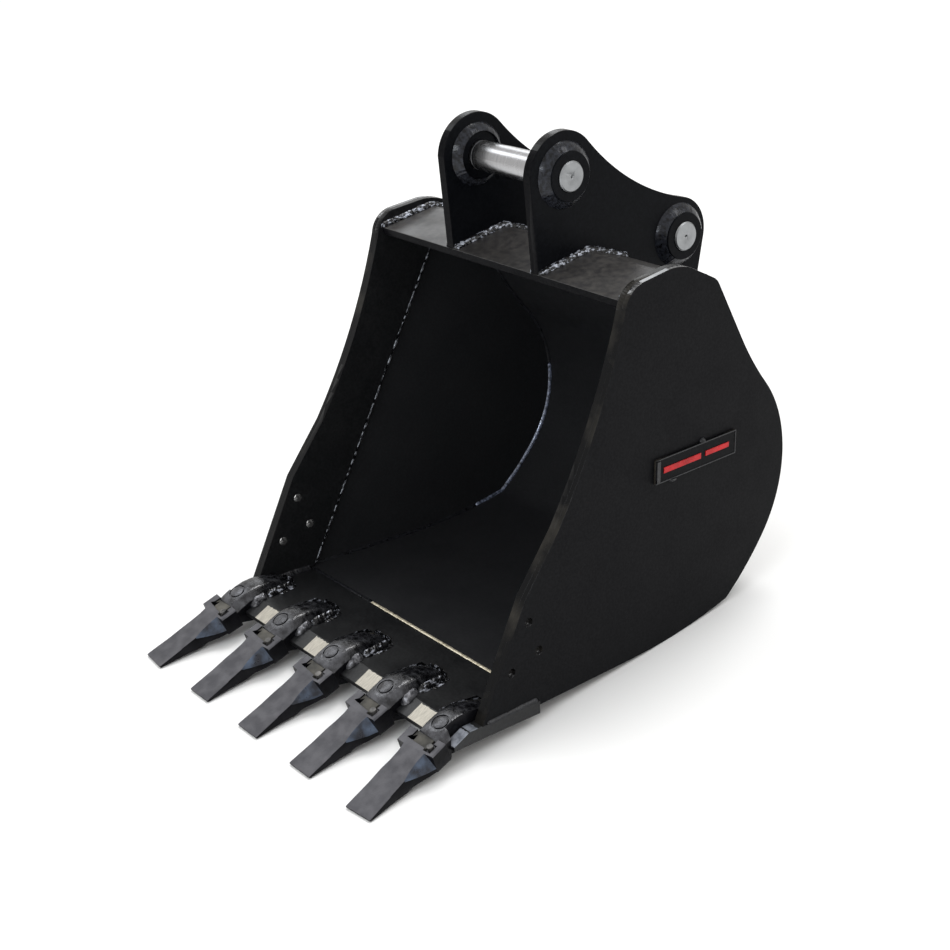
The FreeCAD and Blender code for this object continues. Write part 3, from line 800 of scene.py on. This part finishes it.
def cross_welds():
    """The lip's welds to the wrapper, bare metal on the right, and the top plate's rear weld."""
    gold = Welds("weld_lip_inside", weld_gold, 31)
    end_gap, overlap = 12, 4
    reach = HALF_WIDTH - PLATE - TAPER * LIP_BACK - end_gap
    ground_from = -0.40 * reach           # the weld is ground bare to the right of here
    rearward = Vector((0, 1, 0))
    gold.bead(seam([(ground_from, LIP_BACK, 0), (reach, LIP_BACK, 0)], rearward, UP),
              leg=3.0, crown=1.2, pitch=3.6, ripple=0.6)
    gold.done()
    dark = Welds("welds_cross", weld_black, 32)
    dark.bead(seam([(-reach, LIP_BACK, 0), (ground_from + overlap, LIP_BACK, 0)], rearward, UP),
              leg=3.4, crown=1.0, pitch=4, ripple=0.4)
    below = INSET - FLOOR_DROP
    dark.bead(fillet([(-reach, LIP_BACK, below), (reach, LIP_BACK, below)], rearward, -UP),
              leg=8, crown=1.6, pitch=5, ripple=0.8)
    back = Vector((0, UPPER_BACK[1], -UPPER_BACK[0]))
    low = down_the_back(18)
    width = HALF_WIDTH - PLATE - TAPER * low[0] + overlap
    for first, last in ((-width, -EAR_OUTER), (-EAR_INNER, EAR_INNER), (EAR_OUTER, width)):
        dark.bead(seam([(first, *low), (last, *low)], Vector((0, *UPPER_BACK)), back),
                  leg=5, crown=1.5, pitch=5, ripple=0.8)
    dark.done()


ear_welds()
inside_welds()
cross_welds()

# ------------------------------ teeth and adapters
TOOTH_DROOP = math.radians(20)
TOOTH_ROOT = Vector((0, -75, -19))
LOCK = (21.5, -4)         # the lock pin's axis, in the tooth's own frame
LOCK_HOLE = 5.15
SADDLE_FLOOR = 13


def corner_side(x):
    """-1 or 1 at the left or right corner of the lip, and 0 between them."""
    return math.copysign(1, x) if abs(x) == TOOTH_X[-1] else 0


def tooth_frame(x):
    """Matrix from a tooth's own frame to the working frame; the corner teeth splay outwards."""
    splay = math.radians(SPLAY) * corner_side(x)
    turn = Matrix.Rotation(splay, 4, "Z") @ Matrix.Rotation(TOOTH_DROOP, 4, "X")
    return Matrix.Translation((x, TOOTH_ROOT.y, TOOTH_ROOT.z)) @ turn


# along the tooth: Y, half width, top, bottom, half width of the top flat, height of the shoulder
TOOTH_SECTIONS = [
    (-133.0, 25.0, 1.6, -1.6, 24.4, 1.0),
    (-128.0, 25.0, 2.4, -2.6, 24.2, 1.6),
    (-90.0, 24.0, 4.9, -9.0, 23.2, 4.0),
    (-62.0, 24.2, 7.5, -14.6, 23.4, 6.0),
    (-46.0, 27.5, 10.5, -15.4, 20.5, 0.0),
    (-30.0, 32.5, 13.0, -16.2, 19.5, -4.0),
    (-16.0, 36.0, 15.5, -16.4, 20.5, -6.0),
    (-15.0, 36.0, 15.7, -16.4, 33.5, 13.5),
    (12.0, 36.0, 16.0, -16.4, 34.2, 14.4),
]


def loft(sections, ring_of):
    """A closed skin over rings of equal count."""
    rings = [ring_of(section) for section in sections]
    count = len(rings[0])
    points = [point for ring in rings for point in ring]
    faces = []
    for i in range(len(rings) - 1):
        for k in range(count):
            a, b = i * count + k, i * count + (k + 1) % count
            faces.append((a, b, b + count, a + count))
    faces.append(tuple(range(count)))
    faces.append(tuple(reversed(range(len(points) - count, len(points)))))
    return points, faces


def tooth_ring(section):
    y, half, top, bottom, flat, shoulder = section
    belly = min(flat, half - 0.6)
    low = bottom + min(4.0, (top - bottom) * 0.2)
    side = [(flat, top), (half, shoulder), (half, low), (belly, bottom)]
    return [(x, y, z) for x, z in side] + [(-x, y, z) for x, z in reversed(side)]


def carved(mesh, cutters, width, segments=2):
    """The mesh less its cutters, with its sharp edges broken."""
    piece = bpy.data.objects.new("blank", mesh)
    bpy.context.scene.collection.objects.link(piece)
    tools = []
    for cutter in cutters:
        tool = bpy.data.objects.new("tool", cutter)
        bpy.context.scene.collection.objects.link(tool)
        modifier = piece.modifiers.new("cut", "BOOLEAN")
        modifier.operation = "DIFFERENCE"
        modifier.solver = "EXACT"
        modifier.object = tool
        tools.append(tool)
    modifier = piece.modifiers.new("edges", "BEVEL")
    modifier.width = width
    modifier.segments = segments
    modifier.limit_method = "ANGLE"
    modifier.angle_limit = math.radians(28)
    bpy.context.view_layer.update()
    graph = bpy.context.evaluated_depsgraph_get()
    result = bpy.data.meshes.new_from_object(piece.evaluated_get(graph))
    for thing in [piece, *tools]:
        bpy.data.objects.remove(thing)
    return result


def tooth_mesh():
    """One tooth in its own frame, in millimetres."""
    points, faces = loft(TOOTH_SECTIONS, tooth_ring)
    blank = solid("tooth_blank", points, faces)
    notch = [(14, -12), (27.5, -12), (27.5, 3), (21, 3), (21, 14), (14, 14)]
    pocket = [(-25, -4.5), (-13.5, -6), (-15, 7)]
    saddle = [(-20, 2), (-12, -6), (14, -8), (14, 14), (-20, 14)]
    sides = 28
    lock_hole = [on_circle(LOCK, LOCK_HOLE, 360 * i / sides) for i in range(sides)]
    above, below = 30, -30
    cutters = [
        prism("saddle", saddle, SADDLE_FLOOR, above),
        prism("notch", notch, 9.0, above),
        prism("pocket", pocket, 6, above),
        prism("lock_hole", lock_hole, below, above),
    ]
    return carved(blank, cutters, width=0.7, segments=1)


def tooth_material(face):
    """The number, in the tooth's list of materials, of the one that this face wears."""
    lit_top_sheen, shoulder_facet, shaded_flank, saddle_floor = range(4)
    normal, middle = face.normal, face.center
    on_shoulders = -62 < middle.y < -14
    # shoulder faces that look up and out take the bluish painted reflection
    if on_shoulders and normal.z > 0.15 and abs(normal.x) > 0.25:
        return shoulder_facet
    in_saddle = abs(middle.x) < 20 and middle.y > -7
    if in_saddle and abs(middle.z - SADDLE_FLOOR) < 0.5:
        return saddle_floor
    # faces that look up take the lighter painted sheen, the rest the near black painted shade
    return lit_top_sheen if normal.z > 0.55 else shaded_flank


tooth_template = tooth_mesh()
for face in tooth_template.polygons:
    face.material_index = tooth_material(face)

for number, x in enumerate(TOOTH_X, start=1):
    mesh = tooth_template.copy()
    mesh.transform(WORKING @ tooth_frame(x))
    name = f"tooth_{number}"
    finish_piece(mesh, name + "_forged", [tooth_top_painted_sheen, tooth_facet_painted_reflection, tooth_flank_painted_shade, tooth_saddle],
                 smooth=20, replaced=(name,))

# Side outline of an adapter, in the working frame: over the lip and down the joint, back under the lip,
# and round the lip's bevelled nose.
ADAPTER_HALF = 27
ADAPTER_OVER = [(46, 1), (44, 7), (34, 11.5), (20, 15.5), (4, 18.5), (-12, 19.8), (-28, 18.6),
                (-42, 14.6), (-56, 8.2), (-64, 3.6), (-68.2, 0.8), (-69.4, -2.0)]
ADAPTER_UNDER = [(-58.3, -30.5), (-50, -34.4), (-38, -36.5), (-20, -36), (-6, -33), (2, -27), (4, -20)]
ADAPTER_INSIDE = [(LIP_FRONT, LIP_BOTTOM), (LIP_FRONT, -BEVEL_FALL), (BEVEL_START, 0)]
JOINT_MIDDLE = -12        # lowest that the crown's cheek drops ahead of the lip


def lip_height(y):
    """Top of the lip: level, then down the bevel."""
    return 0.0 if y > BEVEL_START else (y - BEVEL_START) * BEVEL_FALL / (BEVEL_START - LIP_FRONT)


def adapter_narrowing(y):
    """Share of the full half width that the rear leg keeps."""
    return 1 - 0.26 * min(1, max(0, (y + 14) / 60)) ** 1.4


# across the crown: share of the half width, and how far the surface has dropped there
ADAPTER_ACROSS = [(0, 0), (0.25, 0.2), (0.5, 1.0), (0.66, 2.0), (0.74, 3.2), (0.80, 5.4), (0.90, 9.6),
                  (0.97, 12.4), (1.0, 14.0)]


def adapter_mesh():
    """One adapter in the working frame, centred on X = 0, in millimetres."""
    under_rise = 3.0          # how far the lower leg's corners are rounded up

    def ring_of(station):
        share, drop = station
        heights = []
        for y, z in ADAPTER_OVER:
            lowest = min(z, lip_height(y) + 1.0) if y > LIP_FRONT else JOINT_MIDDLE
            heights.append(max(z - drop, lowest))
        heights.append(ADAPTER_UNDER[0][1])
        heights += [z + abs(share) ** 6 * under_rise for y, z in ADAPTER_UNDER[1:-1]]
        heights += [z for y, z in ADAPTER_UNDER[-1:] + ADAPTER_INSIDE]
        outline = ADAPTER_OVER + ADAPTER_UNDER + ADAPTER_INSIDE
        return [(share * ADAPTER_HALF * adapter_narrowing(y), y, height)
                for (y, z), height in zip(outline, heights)]

    across = [(-share, drop) for share, drop in reversed(ADAPTER_ACROSS[1:])] + ADAPTER_ACROSS
    points, faces = loft(across, ring_of)
    return solid("adapter_blank", points, faces)


def crown_ring():
    """The casting's round witness mark, a shallow groove cut into the crown."""
    middle = Vector((0, -47, 11))
    facing = Vector((0, -0.42, 1)).normalized()
    turn = UP.rotation_difference(facing).to_matrix().to_4x4()
    points, faces = [], []
    steps = 40
    section = [(11.4, -1.6), (13.2, -1.6), (13.8, 4), (10.8, 4)]     # radius, height
    rows = len(section)
    for i in range(steps):
        here, there = i * rows, (i + 1) % steps * rows
        points += [(*on_circle((0, 0), radius, 360 * i / steps), height) for radius, height in section]
        for k in range(rows):
            after = (k + 1) % rows
            faces.append((here + k, here + after, there + after, there + k))
    mesh = solid("witness_mark", points, faces)
    mesh.transform(Matrix.Translation(middle) @ turn)
    return mesh


def corner_waste(side):
    """What is cut off a corner adapter's upper leg, in the adapter's own place."""
    inner, outer = side * (CORNER_LEG - TOOTH_X[-1]), side * 40
    behind, below, above = 60, -50, 40
    outline = [(inner, LIP_FRONT), (outer, LIP_FRONT), (outer, behind), (inner, behind)]
    return prism("corner_waste", outline, below, above)


def adapter(number, x):
    cutters = [crown_ring()]
    if corner_side(x):
        cutters.append(corner_waste(corner_side(x)))
    mesh = carved(adapter_mesh(), cutters, width=1.0)
    for face in mesh.polygons:
        # faces that look up take the crown's painted reflection, the rest the flank's painted shade
        face.material_index = 0 if face.normal.z > 0.35 else 1
    mesh.transform(WORKING @ Matrix.Translation((x, 0, 0)))
    name = f"adapter_{number}"
    finish_piece(mesh, name + "_cast", [adapter_crown_painted_reflection, adapter_flank_painted_shade], smooth=38,
                 replaced=(name,))


for number, x in enumerate(TOOTH_X, start=1):
    adapter(number, x)


def adapter_welds():
    """Thick beads down both sides of each upper leg and round its end."""
    bright = Welds("welds_adapters", weld_sparse, 41)
    dark = Welds("welds_adapters_dark", weld_black, 42)
    nugget = Welds("welds_adapters_nugget", weld_nugget_painted_highlight, 43)
    leg_end = 45
    for x in TOOTH_X:
        corner = corner_side(x)
        for side in (-1, 1):
            if side == corner:
                continue
            away = Vector((side, 0, 0))
            leg = []
            for y in (-40, -30, -20, -10, 0, 12, 24, 36, 43):
                leg.append((x + side * ADAPTER_HALF * adapter_narrowing(y), y, lip_height(y)))
            path = fillet(leg, away, UP)
            if side > 0:
                # the front end of the right-hand bead wears the lighter nugget paint, a painted highlight
                nugget.bead(path[:4], leg=9, crown=2.4, pitch=9, ripple=1.7)
                bright.bead(path[3:], leg=9, crown=1.8, pitch=5, ripple=0.6)
            else:
                bright.bead(path[1:], leg=11, crown=2.0, pitch=4.4, ripple=0.6)
            # a second pass on the lip beside the first
            half = ADAPTER_HALF * adapter_narrowing(30)
            line = [(x + side * (half + out), y, 0) for out, y in ((9, 8), (6, 28), (1, 47))]
            bright.bead(seam(line, Vector((side, 0.3, 0)), UP), leg=7, crown=1.8, pitch=4.4, ripple=0.6)
            low = [(x + side * ADAPTER_HALF, y, LIP_BOTTOM) for y in (-40, -20, 0)]
            dark.bead(fillet(low, away, -UP), leg=8, crown=1.8, pitch=6, ripple=1.2)
        # round the leg's rear end
        half = ADAPTER_HALF * adapter_narrowing(leg_end)
        line = [(x - half, leg_end, 0), (x, leg_end + 1.5, 0), (x + half, leg_end, 0)]
        if corner:
            line = [(x - corner * (half - 4), leg_end, 0), (corner * (CORNER_LEG - 2), leg_end, 0)]
        bright.bead(fillet(line, Vector((0, 1, 0)), UP), leg=8.5, crown=1.8, pitch=5, ripple=0.7)
    for welds in (bright, dark, nugget):
        welds.done("cast_steel")


adapter_welds()

# ------------------------------ lock pins
def lock_pin(node):
    piece = finish_piece(clean_copy(node), node + "_rolled", [spring], body=node,
                         replaced=(node,))
    bevel(piece, 0.8)


for number in range(1, 6):
    lock_pin(f"lock_pin_{number}")


# ------------------------------ bare patches on the lip
def bare_patch(number, x_low, x_high, y_low=-49.6, y_high=-24, material=bare):
    """A thin skin of ground, unpainted steel lying on the lip, with a ragged painted edge."""
    ragged = random.Random(50 + number)
    steps = 12
    upper = []
    for i in range(steps + 1):
        x = x_low + (x_high - x_low) * i / steps
        y = y_high + ragged.uniform(-0.9, 0.9)
        upper.append((x, y, lip_height(y)))
    lower = [(x, y_low, lip_height(y_low)) for x, y, z in reversed(upper)]
    outline = [Vector(point) for point in upper + lower]
    lift = Vector((0, -0.37, 0.93)) * 0.35      # the skin's thickness, up and a little forwards
    low_ring = [WORKING @ point for point in outline]
    high_ring = [WORKING @ (point + lift) for point in outline]
    name = f"bare_bevel_{number}"
    finish_piece(slab(name, low_ring, high_ring), name, [material], smooth=30)


for number, x in enumerate(TOOTH_X[1:], start=1):
    bare_patch(number, x - 74, x - ADAPTER_HALF + 1)
# the right end of the lip, beside the corner adapter: the bevel, and the level behind it
bare_patch(5, CORNER_LEG + 1.5, HALF_WIDTH - 0.5, material=bare_dull)
bare_patch(6, CORNER_LEG + 1.5, HALF_WIDTH - 0.5, BEVEL_START + 0.6, -8, bare_dull)

# ------------------------------ name plate
BADGE_Y, BADGE_Z = 336, 262
BADGE_LENGTH, BADGE_HEIGHT, BADGE_THICK = 174, 38, 4


def badge_piece(name, y, z, length, height, tall, material):
    """A raised rectangle on the name plate, measured from the plate's lower front corner."""
    y, z = BADGE_Y + y, BADGE_Z + z
    outline = [(y, z), (y + length, z), (y + length, z + height), (y, z + height)]
    mesh = prism(name, outline, BADGE_THICK, BADGE_THICK + tall)
    axes = Matrix(((0, 0, 1, 0), (1, 0, 0, 0), (0, 1, 0, 0), (0, 0, 0, 1)))
    mesh.transform(WORKING @ side_frame(1) @ axes)
    bevel(finish_piece(mesh, name, [material], smooth=30), 0.4)


def name_plate():
    """A plain plate, tacked on, with a raised rim and two plain red bars; it carries no lettering."""
    plate("name_plate", black_side, 0.8, edge=black_edge)
    rim, post = 1.8, 7
    inside = BADGE_HEIGHT - 2 * rim
    rims = [(0, 0, BADGE_LENGTH, rim, 0.8), (0, BADGE_HEIGHT - rim, BADGE_LENGTH, rim, 0.8),
            (0, rim, post, inside, 3.0), (BADGE_LENGTH - rim, rim, rim, inside, 0.8)]
    for number, sizes in enumerate(rims, start=1):
        badge_piece(f"name_plate_rim_{number}", *sizes, weld_black)
    badge_piece("name_plate_bar_1", 16, 14, 80, 9, 1.2, badge_red)
    badge_piece("name_plate_bar_2", 106, 15, 52, 8, 1.2, badge_red)
    tacks = Welds("welds_name_plate", weld_black, 61)
    for near, far, level, upward in ((96, 108, BADGE_HEIGHT, UP), (30, 46, 0, -UP)):
        line = [on_side(1, 0, BADGE_Y + y, BADGE_Z + level) for y in (near, far)]
        tacks.bead(fillet(line, upward, Vector((1, 0, 0))), leg=6, crown=1.6, pitch=5, ripple=0.5)
    tacks.done("plate_metal")


name_plate()


# ------------------------------ floor and light
def floor():
    """A white floor, so close under the bucket that its shadow starts at the steel."""
    mesh = bpy.data.meshes.new("floor")
    reach, gap = 40, 0.0005   # metres
    corners = [(-reach, -reach, 0), (reach, -reach, 0), (reach, reach, 0), (-reach, reach, 0)]
    mesh.from_pydata(corners, [], [(0, 1, 2, 3)])
    ground = bpy.data.objects.new("floor", mesh)
    ground.location.z = CAD_BOX[0].z - gap
    bpy.context.scene.collection.objects.link(ground)
    material = new_material("floor", (0.93, 0.93, 0.92), 0.9, specular=0.1)
    cloud = grain(material, 3, 2)
    tint(material, cloud, 0.3, 0.7, (0.93, 0.93, 0.925), (0.95, 0.95, 0.945))
    mesh.materials.append(material)


floor()


def area_light(name, place, size, power, color=(1, 1, 1)):
    """A softbox that faces the bucket's middle."""
    light = bpy.data.lights.new(name, "AREA")
    light.shape = "RECTANGLE"
    light.size, light.size_y = size
    light.energy = power
    light.color = color
    lamp = bpy.data.objects.new(name, light)
    lamp.location = place
    middle = Vector((0, 0, 0.3))
    lamp.rotation_euler = (middle - Vector(place)).to_track_quat("-Z", "Y").to_euler()
    bpy.context.scene.collection.objects.link(lamp)


def sun(name, direction, strength, spread_degrees):
    light = bpy.data.lights.new(name, "SUN")
    light.energy = strength
    light.angle = math.radians(spread_degrees)
    lamp = bpy.data.objects.new(name, light)
    lamp.rotation_euler = Vector(direction).to_track_quat("-Z", "Y").to_euler()
    bpy.context.scene.collection.objects.link(lamp)


sun("overhead", (0.15, -0.45, -1), 1.0, 20)
area_light("softbox_back", (-3.0, 2.4, 2.3), (2.0, 1.0), 14, (0.92, 0.96, 1.0))
area_light("softbox_left", (-1.6, -0.2, 2.4), (0.7, 1.4), 8, (0.94, 0.97, 1.0))
area_light("softbox_right", (1.4, 1.4, 2.2), (0.5, 1.2), 8)
area_light("strip_front", (0.9, -2.4, 1.9), (1.6, 0.25), 20, (0.90, 0.95, 1.0))

world = bpy.data.worlds.new("studio")
bpy.context.scene.world = world
world.use_nodes = True
world.node_tree.nodes["Background"].inputs["Color"].default_value = (1.0, 0.99, 0.975, 1)
world.node_tree.nodes["Background"].inputs["Strength"].default_value = 0.84
bpy.context.scene.view_settings.view_transform = "Standard"

# ------------------------------ camera
CAMERA_PLACE = Vector((1889.5, -1249.4, 1233.6))
CAMERA_YAW, CAMERA_PITCH, CAMERA_ROLL = -51.84, 22.95, -1.69
CAMERA_LENS = 64.36


def camera():
    yaw, pitch, roll = (math.radians(a) for a in (CAMERA_YAW, CAMERA_PITCH, CAMERA_ROLL))
    ahead = Vector((math.sin(yaw) * math.cos(pitch), math.cos(yaw) * math.cos(pitch), -math.sin(pitch)))
    right = Vector((math.cos(yaw), -math.sin(yaw), 0))
    upward = right.cross(ahead)
    tilted_right = right * math.cos(roll) + upward * math.sin(roll)
    tilted_up = upward * math.cos(roll) - right * math.sin(roll)
    turn = Matrix((tilted_right, tilted_up, -ahead)).transposed().to_4x4()
    eye = bpy.data.cameras.new("camera")
    eye.lens = CAMERA_LENS
    eye.sensor_width = 36
    viewer = bpy.data.objects.new("camera", eye)
    viewer.matrix_world = Matrix.Translation(WORKING @ CAMERA_PLACE) @ STANCE @ turn
    bpy.context.scene.collection.objects.link(viewer)
    bpy.context.scene.camera = viewer


camera()
